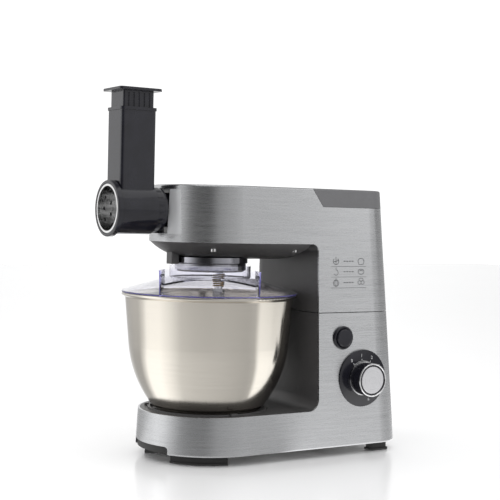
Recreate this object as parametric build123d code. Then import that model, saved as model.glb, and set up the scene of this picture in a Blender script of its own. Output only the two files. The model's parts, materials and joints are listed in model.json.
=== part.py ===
from build123d import *
from math import acos, cos, pi, radians, sin, sqrt
import os

# Tilt-head kitchen machine: planetary mixer with bowl, splash lid and a front slicer attachment.
# Everything below is drawn about the bowl's axis, in millimetres: +X to the rear column,
# -Y to the control side, +Z up. The parts are moved by BOWL_X and FOOT_DROP when they are saved,
# so that the origin ends up on the table, under the middle of the whole machine.

# ---- driving dimensions -------------------------------------------------------------------
BOWL_RIM_R = 120.0
SLICER_FRONT_X = -157.0
FOOT_DROP = 3.0
BODY_BOTTOM_Z = 10.0
BODY_TOP_Z = 364.0
SEAM_Z = 194.3
SEAM_HALF_GAP = 0.5
DECK_Z = 61.5
PLATE_Z = 11.0
HEAD_UNDER_Z = 288.0
COLUMN_X = 121.0
REAR_CORNER_R = 44.0
SKIN = 2.5
LINER = 3.0

SIDE_AT_FLOOR, SIDE_DRAFT = 97.5, 0.045
REAR_AT_FLOOR, REAR_DRAFT = 272.4, 0.0645

HINGE_X, HINGE_Z, KNUCKLE_R, HINGE_PIN_R = 261.1, SEAM_Z, 6.4, 3.2
KNUCKLE_CUT_R = 7.2

BUTTON_X, BUTTON_Z, BUTTON_R = 161.3, 159.6, 12.2
BUTTON_BEZEL_R = 16.0
DIAL_X, DIAL_Z, DIAL_R, KNOB_R = 194.1, 102.6, 39.5, 22.5
KNOB_FACE_Y, KNOB_CAP_R, KNOB_RING_T = -118.0, 18.8, 1.6
DIAL_CROWN_R = 520.0

SPINDLE_Z = 330.0
HUB_NECK_R = 23.0
PLANET_OFFSET = 24.0
HUB_R, HUB_BOTTOM, HUB_TOP = 51.0, 248.0, 269.0
TRAY_FLOOR_Z, TRAY_SHEET, TRAY_BACK_X = 266.0, 3.0, 110.0
SHAFT_R = 5.0
RUNNING_FIT = 0.05
MODULE, RING_TEETH, PLANET_TEETH = 1.5, 48, 16
BEVEL_MODULE, BEVEL_TEETH = 1.2, 20

MOTOR_X = 185.0
PULLEY_R, MOTOR_PULLEY_R = 48.0, 8.0
BELT_LOW, BELT_HIGH, BELT_GAP, BELT_T = 345.5, 354.0, 0.3, 2.0

BOWL_SHEET = 1.3
BOWL_FLOOR_Z, BOWL_TOP_Z, BOWL_BELLY_Z = 61.5, 212.0, 148.0
BOWL_BELLY_R, BOWL_WALL_TOP_R, BOWL_ROUND_R = 109.2, 115.0, 156.3
SEAT_R, SEAT_FLOOR_Z, SEAT_RIM_Z = 82.0, 58.4, 63.2
LID_SHEET, LID_LOW_Z, NECK_Z, NECK_TOP_Z = 2.0, 218.4, 238.6, 256.0
NECK_R, NECK_WALL = 55.6, 2.1
CHUTE_TURN, CHUTE_TOP_Z = 30.0, 252.0

HOPPER_X0, HOPPER_X1, HOPPER_HALF_Y, HOPPER_TOP, HOPPER_WALL = -148.0, -98.0, 22.0, 462.0, 2.2
DRUM_R, DRUM_HOUSING_R = 30.2, 33.2
PUSHER_FOOT_Z, PUSHER_TOP_Z = 384.0, 487.0

BODY_REAR_X = REAR_AT_FLOOR - REAR_DRAFT * BODY_BOTTOM_Z
BOWL_X = -(SLICER_FRONT_X + BODY_REAR_X) / 2


# ---- small helpers ------------------------------------------------------------------------
def block(x0, x1, y0, y1, z0, z1):
    return Pos((x0 + x1) / 2, (y0 + y1) / 2, (z0 + z1) / 2) * Box(x1 - x0, abs(y1 - y0), z1 - z0)


def rod_z(r, z0, z1, x=0.0, y=0.0):
    return Pos(x, y, (z0 + z1) / 2) * Cylinder(r, z1 - z0)


def rod_x(r, x0, x1, y=0.0, z=SPINDLE_Z):
    return Pos((x0 + x1) / 2, y, z) * Rot(0, 90, 0) * Cylinder(r, x1 - x0)


def rod_y(r, y0, y1, x, z):
    return Pos(x, (y0 + y1) / 2, z) * Rot(90, 0, 0) * Cylinder(r, y1 - y0)


def tube_z(r_out, r_in, z0, z1, x=0.0, y=0.0):
    return rod_z(r_out, z0, z1, x, y) - rod_z(r_in, z0 - 1, z1 + 1, x, y)


def tube_x(r_out, r_in, x0, x1, y=0.0, z=SPINDLE_Z):
    return rod_x(r_out, x0, x1, y, z) - rod_x(r_in, x0 - 1, x1 + 1, y, z)


def tube_y(r_out, r_in, y0, y1, x, z):
    return rod_y(r_out, y0, y1, x, z) - rod_y(r_in, y0 - 1, y1 + 1, x, z)


def turned(points):
    """A solid of revolution about Z from a closed (radius, height) outline."""
    return revolve(Plane.XZ * make_face(Polyline(*points, close=True)), Axis.Z, 360)


def toothed_face(teeth, root_r, tip_r, root_share, tip_share, first_deg=0.0):
    """Gear outline: each tooth is a trapezium, widths given as shares of one pitch."""
    pitch = 2 * pi / teeth
    points = []
    for tooth in range(teeth):
        middle = radians(first_deg) + tooth * pitch
        corners = ((-root_share, root_r), (-tip_share, tip_r), (tip_share, tip_r), (root_share, root_r))
        for share, r in corners:
            angle = middle + share * pitch / 2
            points.append((r * cos(angle), r * sin(angle)))
    return make_face(Polyline(*points, close=True))


def save(name, shape):
    export_step(Pos(BOWL_X, 0, FOOT_DROP) * shape, f"parts/{name}.step")


# ---- the body's outer form ----------------------------------------------------------------
def half_width(z):
    return SIDE_AT_FLOOR - SIDE_DRAFT * z


def rear_x(z):
    return REAR_AT_FLOOR - REAR_DRAFT * z


def plan_wire(z, inset):
    """Body outline at a height: half-round nose about the bowl's axis, rounded rear corners."""
    w = half_width(z) - inset
    back = rear_x(z) - inset
    r = REAR_CORNER_R - inset
    bend = r * cos(radians(45))
    return Pos(0, 0, z) * Wire([
        Line((0, -w), (back - r, -w)),
        ThreePointArc((back - r, -w), (back - r + bend, -w + r - bend), (back, -w + r)),
        Line((back, -w + r), (back, w - r)),
        ThreePointArc((back, w - r), (back - r + bend, w - r + bend), (back - r, w)),
        Line((back - r, w), (0, w)),
        ThreePointArc((0, w), (-w, 0), (0, -w)),
    ])


def body_form(z0, z1, inset=0.0):
    return Solid.make_loft([plan_wire(z0, inset), plan_wire(z1, inset)], ruled=True)


def gap_prism(grow=0.0):
    """The open C between base and head, with its two rounded inner corners."""
    low, high, back = DECK_Z - grow, HEAD_UNDER_Z + grow, COLUMN_X + grow
    low_r, high_r = 16 + grow, 10 + grow
    outline = Polyline((-200, low), (back, low), (back, high), (-200, high), close=True)
    face = make_face(outline)
    corners = face.vertices().group_by(Axis.X)[-1].sort_by(Axis.Y)
    face = fillet(corners[0], low_r)
    corners = face.vertices().sort_by(Axis.X).filter_by(lambda v: v.X > back - high_r - 1)
    face = fillet(corners.sort_by(Axis.Y)[-1], high_r)
    return extrude(Plane.XZ * face, 150, both=True)


def far_corner_cut():
    """Rounds the column's front corner on the side away from the controls."""
    r, w = 35.0, half_width(SEAM_Z)
    corner = block(COLUMN_X - 30, COLUMN_X + r, w - r + 1, w + 30, DECK_Z + 16, HEAD_UNDER_Z - 10)
    return corner - rod_z(r, 0, 400, COLUMN_X + r, w - r + 1)


RECESS_X, RECESS_HALF_Y, RECESS_LOW, RECESS_HIGH = -67.5, 24.2, 299.0, 357.0
REAR_LID_FRONT = [(112.8, 370), (112.8, 361.8), (128.9, 338.9), (300, 338.9), (300, 370)]


def rear_lid_zone(shrink=0.0):
    face = make_face(Polyline(*REAR_LID_FRONT, close=True))
    zone = extrude(Plane.XZ * face, 150, both=True)
    return Pos(shrink, 0, shrink) * zone


def nose_recess(grow=0.0):
    """The pocket in the nose that the attachment hub stands in."""
    half_y = RECESS_HALF_Y + grow
    return block(-140, RECESS_X + grow, -half_y, half_y, RECESS_LOW - grow, RECESS_HIGH + grow)


def hinge_hollow():
    return rod_y(KNUCKLE_CUT_R, -30, 30, HINGE_X, HINGE_Z)


# ---- base ---------------------------------------------------------------------------------
def base_parts():
    top = SEAM_Z - SEAM_HALF_GAP
    outer = body_form(BODY_BOTTOM_Z, top)
    outer = fillet(outer.faces().sort_by(Axis.Z)[0].edges(), 2.0)
    inner = body_form(BODY_BOTTOM_Z - 5, top + 5, SKIN)
    gap = gap_prism()
    shell = outer - inner - gap
    notch = Plane.YZ * RectangleRounded(92, 36, 5)
    shell -= Pos(-75, 0, 2.5) * extrude(notch, 40, both=True)
    shell -= hinge_hollow()
    shell -= rod_y(BUTTON_BEZEL_R + RUNNING_FIT, -120, -60, BUTTON_X, BUTTON_Z)
    shell -= rod_y(DIAL_R + RUNNING_FIT, -120, -60, DIAL_X, DIAL_Z)
    vent_zone = block(235, 285, -45, 45, 49, 159)
    vent = shell & block(235, 285, -44.8, 44.8, 49.2, 158.8)
    shell -= vent_zone
    for row in range(9):
        vent -= block(235, 285, -36, 36, 58.5 + row * 11, 63.5 + row * 11)
    inlet_x, inlet_y, inlet_z = rear_x(33), 30.0, 33.0
    shell -= rod_x(10.55, inlet_x - 12, inlet_x + 6, inlet_y, inlet_z)
    save("base_shell", shell)
    save("rear_vent_panel", vent)
    inlet = tube_x(10.5, 4.2, inlet_x - 9, inlet_x, inlet_y, inlet_z)
    inlet = fillet(inlet.faces().sort_by(Axis.X)[-1].edges(), 0.8)
    save("cord_inlet", inlet)

    liner = (gap_prism(LINER) - gap) & body_form(50, top, SKIN)
    save("base_deck", liner - rod_z(SEAT_R + RUNNING_FIT, 50, 70))
    save("column_cap", column_cap(top))
    save("bottom_plate", bottom_plate())
    save("rubber_feet", rubber_feet())
    save("base_screws", base_screws())
    save("bowl_seat", bowl_seat())


def column_room(z0, z1):
    """The space inside the column's walls, behind the liner."""
    front = COLUMN_X + LINER + 0.1
    return body_form(z0, z1, SKIN + 0.1) & block(front, 300, -100, 100, z0 - 1, z1 + 1)


def column_cap(top):
    cap = column_room(top - 3, top)
    cap -= rod_y(KNUCKLE_CUT_R, -100, 100, HINGE_X, HINGE_Z)
    cap -= block(HINGE_X - 18, HINGE_X + 6, -34, 34, 150, 250)
    cap -= block(146, 174, -66, -40, 150, 250)
    return cap


def bottom_plate():
    """Floor of the base, let into its skirt, with a standing rim and cooling slots."""
    sheet, rim_height, rim_wall = 3.0, 6.0, 3.0
    top = PLATE_Z + sheet
    plate = body_form(PLATE_Z, top, SKIN + 0.1)
    plate += body_form(top, top + rim_height, SKIN + 0.1) - body_form(top - 1, top + rim_height + 1,
                                                                    SKIN + 0.1 + rim_wall)
    for row in range(7):
        slot_x = 140 + row * 11
        plate -= block(slot_x, slot_x + 5, -38, 38, PLATE_Z - 1, top + 1)
    return plate


def rubber_feet():
    """Two long curved pads under the nose and two short ones at the rear, each with a wider sole."""
    sole, low, feet = 3.0, -FOOT_DROP, []
    for side in (1, -1):
        sector = Polyline((0, 0), (-200, -95 * side), (-200, -260 * side), (-35, -200 * side), close=True)
        arc = tube_z(83, 67, low + sole, PLATE_Z) + tube_z(84.5, 65.5, low, low + sole)
        pad = arc & Pos(0, 0, low) * extrude(make_face(sector), PLATE_Z - low)
        feet.append(chamfer(pad.faces().sort_by(Axis.Z)[0].edges(), 0.8))
        upper = block(219, 249, 70 * side, 84 * side, low + sole, PLATE_Z)
        lower = block(217, 251, 68 * side, 86 * side, low, low + sole)
        foot = fillet(upper.edges().filter_by(Axis.Z), 5) + fillet(lower.edges().filter_by(Axis.Z), 6)
        feet.append(chamfer(foot.faces().sort_by(Axis.Z)[0].edges(), 0.8))
    return Compound(feet)


def base_screws():
    screws = []
    for x, y in ((-60, 0), (60, 70), (60, -70), (125, 70), (125, -70), (240, 0)):
        slot = block(x - 3, x + 3, y - 0.5, y + 0.5, PLATE_Z - 3, PLATE_Z - 1.2)
        screws.append(rod_z(4, PLATE_Z - 2, PLATE_Z, x, y) - slot)
    return Compound(screws)


def bowl_seat():
    """Dish let into the deck: a low rim round the bowl's heel and three bayonet lugs."""
    under = SEAT_FLOOR_Z - 2.4
    seat = turned([(56, under), (SEAT_R + 4, under), (SEAT_R + 4, SEAT_FLOOR_Z), (SEAT_R, SEAT_FLOOR_Z),
                   (SEAT_R, SEAT_RIM_Z), (SEAT_R - 3.4, SEAT_RIM_Z), (SEAT_R - 4.6, SEAT_FLOOR_Z),
                   (56, SEAT_FLOOR_Z)])
    for turn in (25, 145, 265):
        seat += Rot(0, 0, turn) * Pos(SEAT_R + 1.5, 0, DECK_Z + 1.6) * Box(5, 9, 3.2)
    return seat


# ---- tilt release, speed dial and their inner parts -----------------------------------------
def control_parts():
    bezel_back, bezel_front = -84.0, -93.4
    bezel = tube_y(BUTTON_BEZEL_R, BUTTON_R + 0.4, bezel_front, bezel_back, BUTTON_X, BUTTON_Z)
    bezel = chamfer(bezel.faces().sort_by(Axis.Y)[0].edges(), 0.9)
    bezel += tube_y(BUTTON_BEZEL_R, 5, bezel_back, bezel_back + 2, BUTTON_X, BUTTON_Z)
    save("button_bezel", bezel)
    cap = rod_y(BUTTON_R, -96.4, -89, BUTTON_X, BUTTON_Z)
    cap = fillet(cap.faces().sort_by(Axis.Y)[0].edges(), 1.4)
    cap += rod_y(3.6, -89, -62, BUTTON_X, BUTTON_Z)
    save("tilt_button", cap)
    slide = block(BUTTON_X - 7, BUTTON_X + 7, -62, -58, BUTTON_Z - 8, 183)
    slide += block(BUTTON_X - 7, BUTTON_X + 7, -58, -54, 179, 183)
    save("latch_slide", slide)
    path = Helix(pitch=2.6, height=13, radius=5.6)
    wire = sweep(Plane(origin=path @ 0, z_dir=path % 0) * Circle(0.6), path)
    save("button_spring", Pos(BUTTON_X, -67, BUTTON_Z) * Rot(90, 0, 0) * wire)

    dial_face, pocket_y = -95.6, -113.9
    dial = rod_y(DIAL_R, dial_face, -87, DIAL_X, DIAL_Z)
    dial = dial & Pos(DIAL_X, dial_face + DIAL_CROWN_R, DIAL_Z) * Sphere(DIAL_CROWN_R)
    dial -= rod_y(6, -120, -60, DIAL_X, DIAL_Z)
    save("dial_bezel", dial)
    knob_back = -97.2
    body = rod_y(KNOB_R, KNOB_FACE_Y + KNOB_RING_T, knob_back, DIAL_X, DIAL_Z)
    body += rod_y(KNOB_R - 1.6, KNOB_FACE_Y + 0.6, KNOB_FACE_Y + KNOB_RING_T, DIAL_X, DIAL_Z)
    body -= rod_y(KNOB_CAP_R + 0.1, -130, pocket_y, DIAL_X, DIAL_Z) + rod_y(4.0, -130, -90, DIAL_X, DIAL_Z)
    for groove in range(36):
        spot = radians(groove * 10)
        x, z = DIAL_X + (KNOB_R + 0.2) * cos(spot), DIAL_Z + (KNOB_R + 0.2) * sin(spot)
        body -= rod_y(0.8, -112, -99, x, z)
    save("knob_body", body)
    front_ring = tube_y(KNOB_R + 0.3, KNOB_R - 1.5, KNOB_FACE_Y, KNOB_FACE_Y + KNOB_RING_T, DIAL_X, DIAL_Z)
    front_ring = chamfer(front_ring.faces().sort_by(Axis.Y)[0].edges(), 0.45)
    base_ring = tube_y(KNOB_R + 0.9, KNOB_R - 3, knob_back, knob_back + 1.1, DIAL_X, DIAL_Z)
    save("knob_ring", Compound([front_ring, base_ring]))
    face = rod_y(KNOB_CAP_R, KNOB_FACE_Y + 0.4, pocket_y, DIAL_X, DIAL_Z)
    save("knob_cap", fillet(face.faces().sort_by(Axis.Y)[0].edges(), 0.9))
    save("switch_shaft", rod_y(3.95, -113.8, -70, DIAL_X, DIAL_Z))
    switch = tube_y(16, 4.05, -84, -72, DIAL_X, DIAL_Z) + rod_y(18, -69, -58, DIAL_X, DIAL_Z)
    switch += tube_y(18, 14, -72, -69, DIAL_X, DIAL_Z)
    save("speed_switch", switch)
    board = block(140, 236, 20, 21.6, 70, 150)
    board += block(150, 165, 21.6, 40, 80, 100) + block(200, 226, 21.6, 34, 100, 130)
    board += rod_y(8, 21.6, 48, 180, 125)
    save("control_board", board)


# ---- hinge --------------------------------------------------------------------------------
def hinge_parts():
    pin_hole = rod_y(HINGE_PIN_R + RUNNING_FIT, -60, 60, HINGE_X, HINGE_Z)
    plate_x = HINGE_X - 15
    base = block(plate_x, plate_x + 7, -29, 29, 150, SEAM_Z - 1.2)
    for y0, y1 in ((-28, -12.5), (12.5, 28)):
        base += rod_y(KNUCKLE_R, y0, y1, HINGE_X, HINGE_Z)
        base += block(plate_x + 1, HINGE_X, y0, y1, SEAM_Z - 6.0, SEAM_Z - 0.8)
    save("base_hinge_bracket", base - pin_hole)
    head = block(plate_x, plate_x + 6, -29, 29, SEAM_Z + 4.5, 240)
    head += rod_y(KNUCKLE_R, -12, 12, HINGE_X, HINGE_Z)
    head += block(plate_x + 1, HINGE_X, -12, 12, SEAM_Z + 0.8, SEAM_Z + 5.4)
    save("head_hinge_bracket", head - pin_hole)
    pin = rod_y(HINGE_PIN_R, -28, 28, HINGE_X, HINGE_Z)
    pin += rod_y(5, -30, -28, HINGE_X, HINGE_Z) + rod_y(5, 28, 30, HINGE_X, HINGE_Z)
    save("hinge_pin", pin)


# ---- head ---------------------------------------------------------------------------------
def head_parts():
    bottom = SEAM_Z + SEAM_HALF_GAP
    outer = body_form(bottom, BODY_TOP_Z)
    outer = fillet(outer.faces().sort_by(Axis.Z)[-1].edges(), 3.0)
    inner = body_form(bottom - 5, BODY_TOP_Z - SKIN, SKIN) - nose_recess(SKIN)
    gap = gap_prism()
    skin = outer - inner - gap - nose_recess() - hinge_hollow() - far_corner_cut()
    save("head_shell", skin - rear_lid_zone() - rod_x(HUB_NECK_R + RUNNING_FIT, -75, -60))
    save("rear_top_cover", skin & rear_lid_zone(0.3))

    liner = (gap_prism(LINER) - gap) & body_form(bottom, 300, SKIN)
    liner = liner - far_corner_cut() - rod_z(40, 270, 300)
    save("head_liner", liner)
    plate = column_room(bottom, bottom + 3)
    plate -= block(HINGE_X - 18, HINGE_X + 8, -34, 34, 150, 250) + far_corner_cut()
    plate -= block(BUTTON_X - 5.1, BUTTON_X + 5.1, -50.1, -45.9, 150, 250)
    for slot in range(6):
        plate -= block(150 + slot * 11, 155 + slot * 11, 8, 50, 150, 250)
    save("head_floor", plate)
    catch = block(BUTTON_X - 5, BUTTON_X + 5, -50, -46, 176, bottom)
    catch += block(BUTTON_X - 5, BUTTON_X + 5, -53, -50, 176, 178)
    catch += block(BUTTON_X - 8, BUTTON_X + 8, -56, -42, bottom + 3, bottom + 6)
    catch += block(BUTTON_X - 5, BUTTON_X + 5, -50, -46, bottom - 1, bottom + 4)
    save("latch_catch", catch)

    tray_parts()
    insert = rod_x(HUB_NECK_R, -80.5, -62) + rod_x(26.5, -81.4, -80.0)
    insert += block(RECESS_X - 2.5, RECESS_X - 0.1, -24, 24, RECESS_LOW + 0.2, RECESS_HIGH - 0.2)
    insert -= rod_x(20.4, -90, -65) + rod_x(9.8, -90, -50)
    save("hub_insert", insert)


def tray_form(inset):
    """Deep pan under the head: half-round nose, straight sides, rounded up at its rear."""
    top, floor = HEAD_UNDER_Z, TRAY_FLOOR_Z + inset
    width = half_width(top) - 1.5 - inset * 1.25
    flat_r, belly = 34.0, (60.0 - inset * 0.35, TRAY_FLOOR_Z + 6.3 + inset)
    half = make_face([Line((0, top), (0, floor)), Line((0, floor), (flat_r, floor)),
                      ThreePointArc((flat_r, floor), belly, (width, top)), Line((width, top), (0, top))])
    nose = revolve(Plane.XZ * half, Axis.Z, 360)
    full = nose + extrude(Plane.YZ * half + Plane.YZ * mirror(half, Plane.YZ), TRAY_BACK_X)
    round_r, round_x = 26.0, TRAY_BACK_X - 26.0
    heel = block(round_x, TRAY_BACK_X + 1, -100, 100, 250, top + 1)
    return full - (heel - rod_y(round_r - inset, -100, 100, round_x, TRAY_FLOOR_Z + round_r))


def tray_parts():
    solid_tray = tray_form(0)
    tray = solid_tray - Pos(0, 0, 0.01) * tray_form(TRAY_SHEET) - rod_z(HUB_R + 1.5, 260, 300)
    screws = []
    for x, y in ((-32, -63), (-32, 63), (92, -69), (92, 69)):
        tray -= rod_z(3.9, 260, 283, x, y)
        screws.append(rod_z(3.8, 276.5, 280.5, x, y) - block(x - 3, x + 3, y - 0.5, y + 0.5, 270, 277.5))
    save("underside_tray", tray)
    save("tray_screws", Compound(screws))
    catch = block(-64, -HUB_R - 1.6, -8, 8, 258, 276)
    save("lid_catch", fillet(catch.edges().filter_by(Axis.Z), 1.5) - solid_tray)


# ---- drive train --------------------------------------------------------------------------
def drive_parts():
    plate_low, plate_high = 291.2, 295.2
    housing = block(-55, 228, -42, 42, plate_low, plate_high) + rod_z(44, 262.5, 265.5)
    housing += rod_z(26, 262.5, plate_low) + rod_z(19, plate_high, 308)
    housing += block(-52, -43, -12, 12, plate_low, 343)
    housing -= rod_z(16, 270, 299) + rod_z(13, 260, 306) + rod_z(6, 300, 310) + rod_x(10, -60, -40)
    housing -= rod_z(40, plate_low - 1, plate_high + 1, MOTOR_X)
    save("gearbox_housing", housing)
    bearings = [tube_z(13, SHAFT_R + RUNNING_FIT, 262.5, 270), tube_z(13, SHAFT_R + RUNNING_FIT, 299, 306)]
    save("main_bearings", Compound(bearings))
    save("front_bearing", tube_x(10, SHAFT_R + RUNNING_FIT, -52, -43))

    ring_r = MODULE * RING_TEETH / 2
    gap_face = toothed_face(RING_TEETH, ring_r - 0.85 * MODULE, ring_r + 1.15 * MODULE, 0.80, 0.36, -90)
    ring = rod_z(43, 253.5, 262.5) - Pos(0, 0, 250) * extrude(gap_face, 20)
    save("ring_gear", ring)
    planet_r = MODULE * PLANET_TEETH / 2
    planet_root, planet_tip = planet_r - 1.15 * MODULE, planet_r + 0.85 * MODULE
    planet_face = toothed_face(PLANET_TEETH, planet_root, planet_tip, 0.62, 0.2, -90)
    planet = Pos(0, -PLANET_OFFSET, 254) * extrude(planet_face, 8)
    save("planet_gear", planet - rod_z(SHAFT_R, 250, 270, 0, -PLANET_OFFSET))

    waist_r, inner_r, step_z = HUB_R - 2.2, HUB_R - 4.5, HUB_TOP - 9
    carrier = turned([(0, HUB_BOTTOM), (waist_r - 4, HUB_BOTTOM), (waist_r, HUB_BOTTOM + 2.5),
                      (waist_r, step_z - 1.2), (HUB_R, step_z), (HUB_R, HUB_TOP - 1.5),
                      (HUB_R - 1.2, HUB_TOP), (inner_r, HUB_TOP), (inner_r, HUB_BOTTOM + 4),
                      (0, HUB_BOTTOM + 4)])
    carrier -= rod_z(SHAFT_R + RUNNING_FIT, 200, 300, 0, -PLANET_OFFSET) + rod_z(SHAFT_R, 200, 300)
    save("planet_carrier", carrier)
    save("main_shaft", rod_z(SHAFT_R, HUB_BOTTOM, 356))
    pulley = rod_z(PULLEY_R, BELT_LOW, BELT_HIGH) - rod_z(SHAFT_R, 300, 400)
    for turn in range(0, 360, 60):
        pulley -= Rot(0, 0, turn) * rod_z(9.5, 300, 400, 28, 0)
    save("large_pulley", pulley)

    bevel_r = BEVEL_MODULE * BEVEL_TEETH / 2
    crown = bevel(bevel_r, 180 / BEVEL_TEETH)
    crown = Pos(0, 0, SPINDLE_Z) * crown + rod_z(9, 310, SPINDLE_Z - bevel_r)
    save("crown_gear", crown - rod_z(SHAFT_R, 300, 340))
    pinion = Pos(0, 0, SPINDLE_Z) * Rot(0, 90, 0) * bevel(bevel_r, 0)
    pinion += rod_x(8, -18, -bevel_r)
    save("bevel_pinion", pinion - rod_x(SHAFT_R, -30, 0))
    spindle = rod_x(SHAFT_R, -56, -7) + rod_x(9, -74, -56)
    save("output_spindle", spindle - block(-80, -60, -3.6, 3.6, SPINDLE_Z - 3.6, SPINDLE_Z + 3.6))

    stator = tube_z(38, 25, 220, 282, MOTOR_X) + tube_z(38, 32, 282, 291.2, MOTOR_X)
    for turn in range(0, 360, 90):
        stator -= Pos(MOTOR_X, 0, 0) * Rot(0, 0, turn + 45) * block(30, 50, -10, 10, 283.5, 289)
    save("motor_stator", stator)
    rotor = rod_z(24, 226, 276, MOTOR_X) + rod_z(4, 204, 356, MOTOR_X)
    save("motor_rotor", rotor)
    fan = tube_z(12, 4, 206, 216, MOTOR_X)
    for turn in range(0, 360, 45):
        fan += Pos(MOTOR_X, 0, 0) * Rot(0, 0, turn) * block(11, 34, -1, 1, 206, 216)
    save("motor_fan", fan)
    save("motor_pulley", tube_z(MOTOR_PULLEY_R, 4, BELT_LOW, BELT_HIGH, MOTOR_X))
    save("drive_belt", belt())


def bevel(pitch_r, first_deg):
    """Straight bevel gear with its apex at the origin and its axis down -Z, 45 degree cone."""
    small = 0.55
    sections = []
    for scale in (1.0, small):
        r = pitch_r * scale
        m = BEVEL_MODULE * scale
        face = toothed_face(BEVEL_TEETH, r - 1.15 * m, r + 0.8 * m, 0.56, 0.2, first_deg)
        sections.append(Pos(0, 0, -pitch_r * scale) * face.face().outer_wire())
    return Solid.make_loft(sections, ruled=True)


def belt():
    """Flat belt round the two pulleys, with open tangent runs."""
    def loop(extra):
        big, small = PULLEY_R + extra, MOTOR_PULLEY_R + extra
        lean = acos((big - small) / MOTOR_X)
        points = []
        for sign in (1, -1):
            points.append(((big * cos(lean), sign * big * sin(lean)),
                           (MOTOR_X + small * cos(lean), sign * small * sin(lean))))
        (big_up, small_up), (big_down, small_down) = points
        wire = Wire([Line(big_up, small_up), ThreePointArc(small_up, (MOTOR_X + small, 0), small_down),
                     Line(small_down, big_down), ThreePointArc(big_down, (-big, 0), big_up)])
        return make_face(wire)
    ring = loop(BELT_GAP + BELT_T) - loop(BELT_GAP)
    return Pos(0, 0, BELT_LOW + 0.5) * extrude(ring, BELT_HIGH - BELT_LOW - 1)


# ---- beater -------------------------------------------------------------------------------
def tool_parts():
    shaft = rod_z(SHAFT_R, 214, 262.2, 0, -PLANET_OFFSET)
    save("tool_shaft", shaft - rod_y(1.6, -60, 0, 0, 219))
    save("tool_pin", rod_y(1.6, -PLANET_OFFSET - 11, -PLANET_OFFSET + 11, 0, 219))
    outline = [(-12, 212), (12, 212), (60, 168), (60, 112), (40, 70), (-40, 70), (-60, 112), (-60, 168)]
    outer = make_face(Polyline(*outline, close=True))
    outer = fillet(outer.vertices(), 10)
    frame = outer - offset(outer, -9, kind=Kind.INTERSECTION)
    frame += Pos(0, 141) * Rectangle(8, 134)
    for side in (1, -1):
        frame += make_face(Polyline((0, 150), (side * 54, 104), (side * 54, 112), (0, 158), close=True))
    paddle = extrude(Plane.XZ * frame, 3.2, both=True)
    paddle += rod_z(8, 200, 225)
    paddle = Pos(0, -PLANET_OFFSET, 0) * paddle
    paddle -= rod_z(SHAFT_R + RUNNING_FIT, 213.5, 240, 0, -PLANET_OFFSET) + rod_y(1.7, -60, 20, 0, 219)
    save("flat_beater", paddle)


# ---- bowl and splash lid --------------------------------------------------------------------
def bowl_form(inset):
    """The bowl's form: nearly straight upper wall running into a large round, flat floor."""
    floor_z = BOWL_FLOOR_Z + inset
    wall = (BOWL_WALL_TOP_R - BOWL_BELLY_R, BOWL_TOP_Z - BOWL_BELLY_Z)
    length = sqrt(wall[0] ** 2 + wall[1] ** 2)
    centre_r = BOWL_BELLY_R - BOWL_ROUND_R * wall[1] / length
    centre_z = BOWL_BELLY_Z + BOWL_ROUND_R * wall[0] / length

    def on_round(z):
        return centre_r + sqrt((BOWL_ROUND_R - inset) ** 2 - (centre_z - z) ** 2), z

    top = BOWL_TOP_Z + inset * 0.5
    belly = (BOWL_BELLY_R - inset, BOWL_BELLY_Z)
    heel, middle = on_round(floor_z), on_round((BOWL_BELLY_Z + floor_z) / 2)
    outline = make_face([Line((0, floor_z), heel), ThreePointArc(heel, middle, belly),
                         Line(belly, (BOWL_WALL_TOP_R - inset, top)),
                         Line((BOWL_WALL_TOP_R - inset, top), (0, top)), Line((0, top), (0, floor_z))])
    corner = outline.vertices().sort_by(Axis.Y).filter_by(lambda v: v.X > 60)[0]
    return revolve(Plane.XZ * fillet(corner, 6 - inset), Axis.Z, 360)


def bowl_parts():
    bead_r = 1.8
    bead_middle = (BOWL_RIM_R - bead_r, 216.2)
    lip = turned([(BOWL_WALL_TOP_R - BOWL_SHEET, BOWL_TOP_Z), (BOWL_WALL_TOP_R, BOWL_TOP_Z),
                  (bead_middle[0], bead_middle[1] - bead_r), (bead_middle[0], bead_middle[1] + 1.6)])
    bead = revolve(Plane.XZ * (Pos(*bead_middle) * Circle(bead_r)), Axis.Z, 360)
    save("bowl", bowl_form(0) - bowl_form(BOWL_SHEET) + lip + bead)
    save("bowl_foot_ring", tube_z(68, 64, SEAT_FLOOR_Z + 0.3, BOWL_FLOOR_Z))


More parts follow.
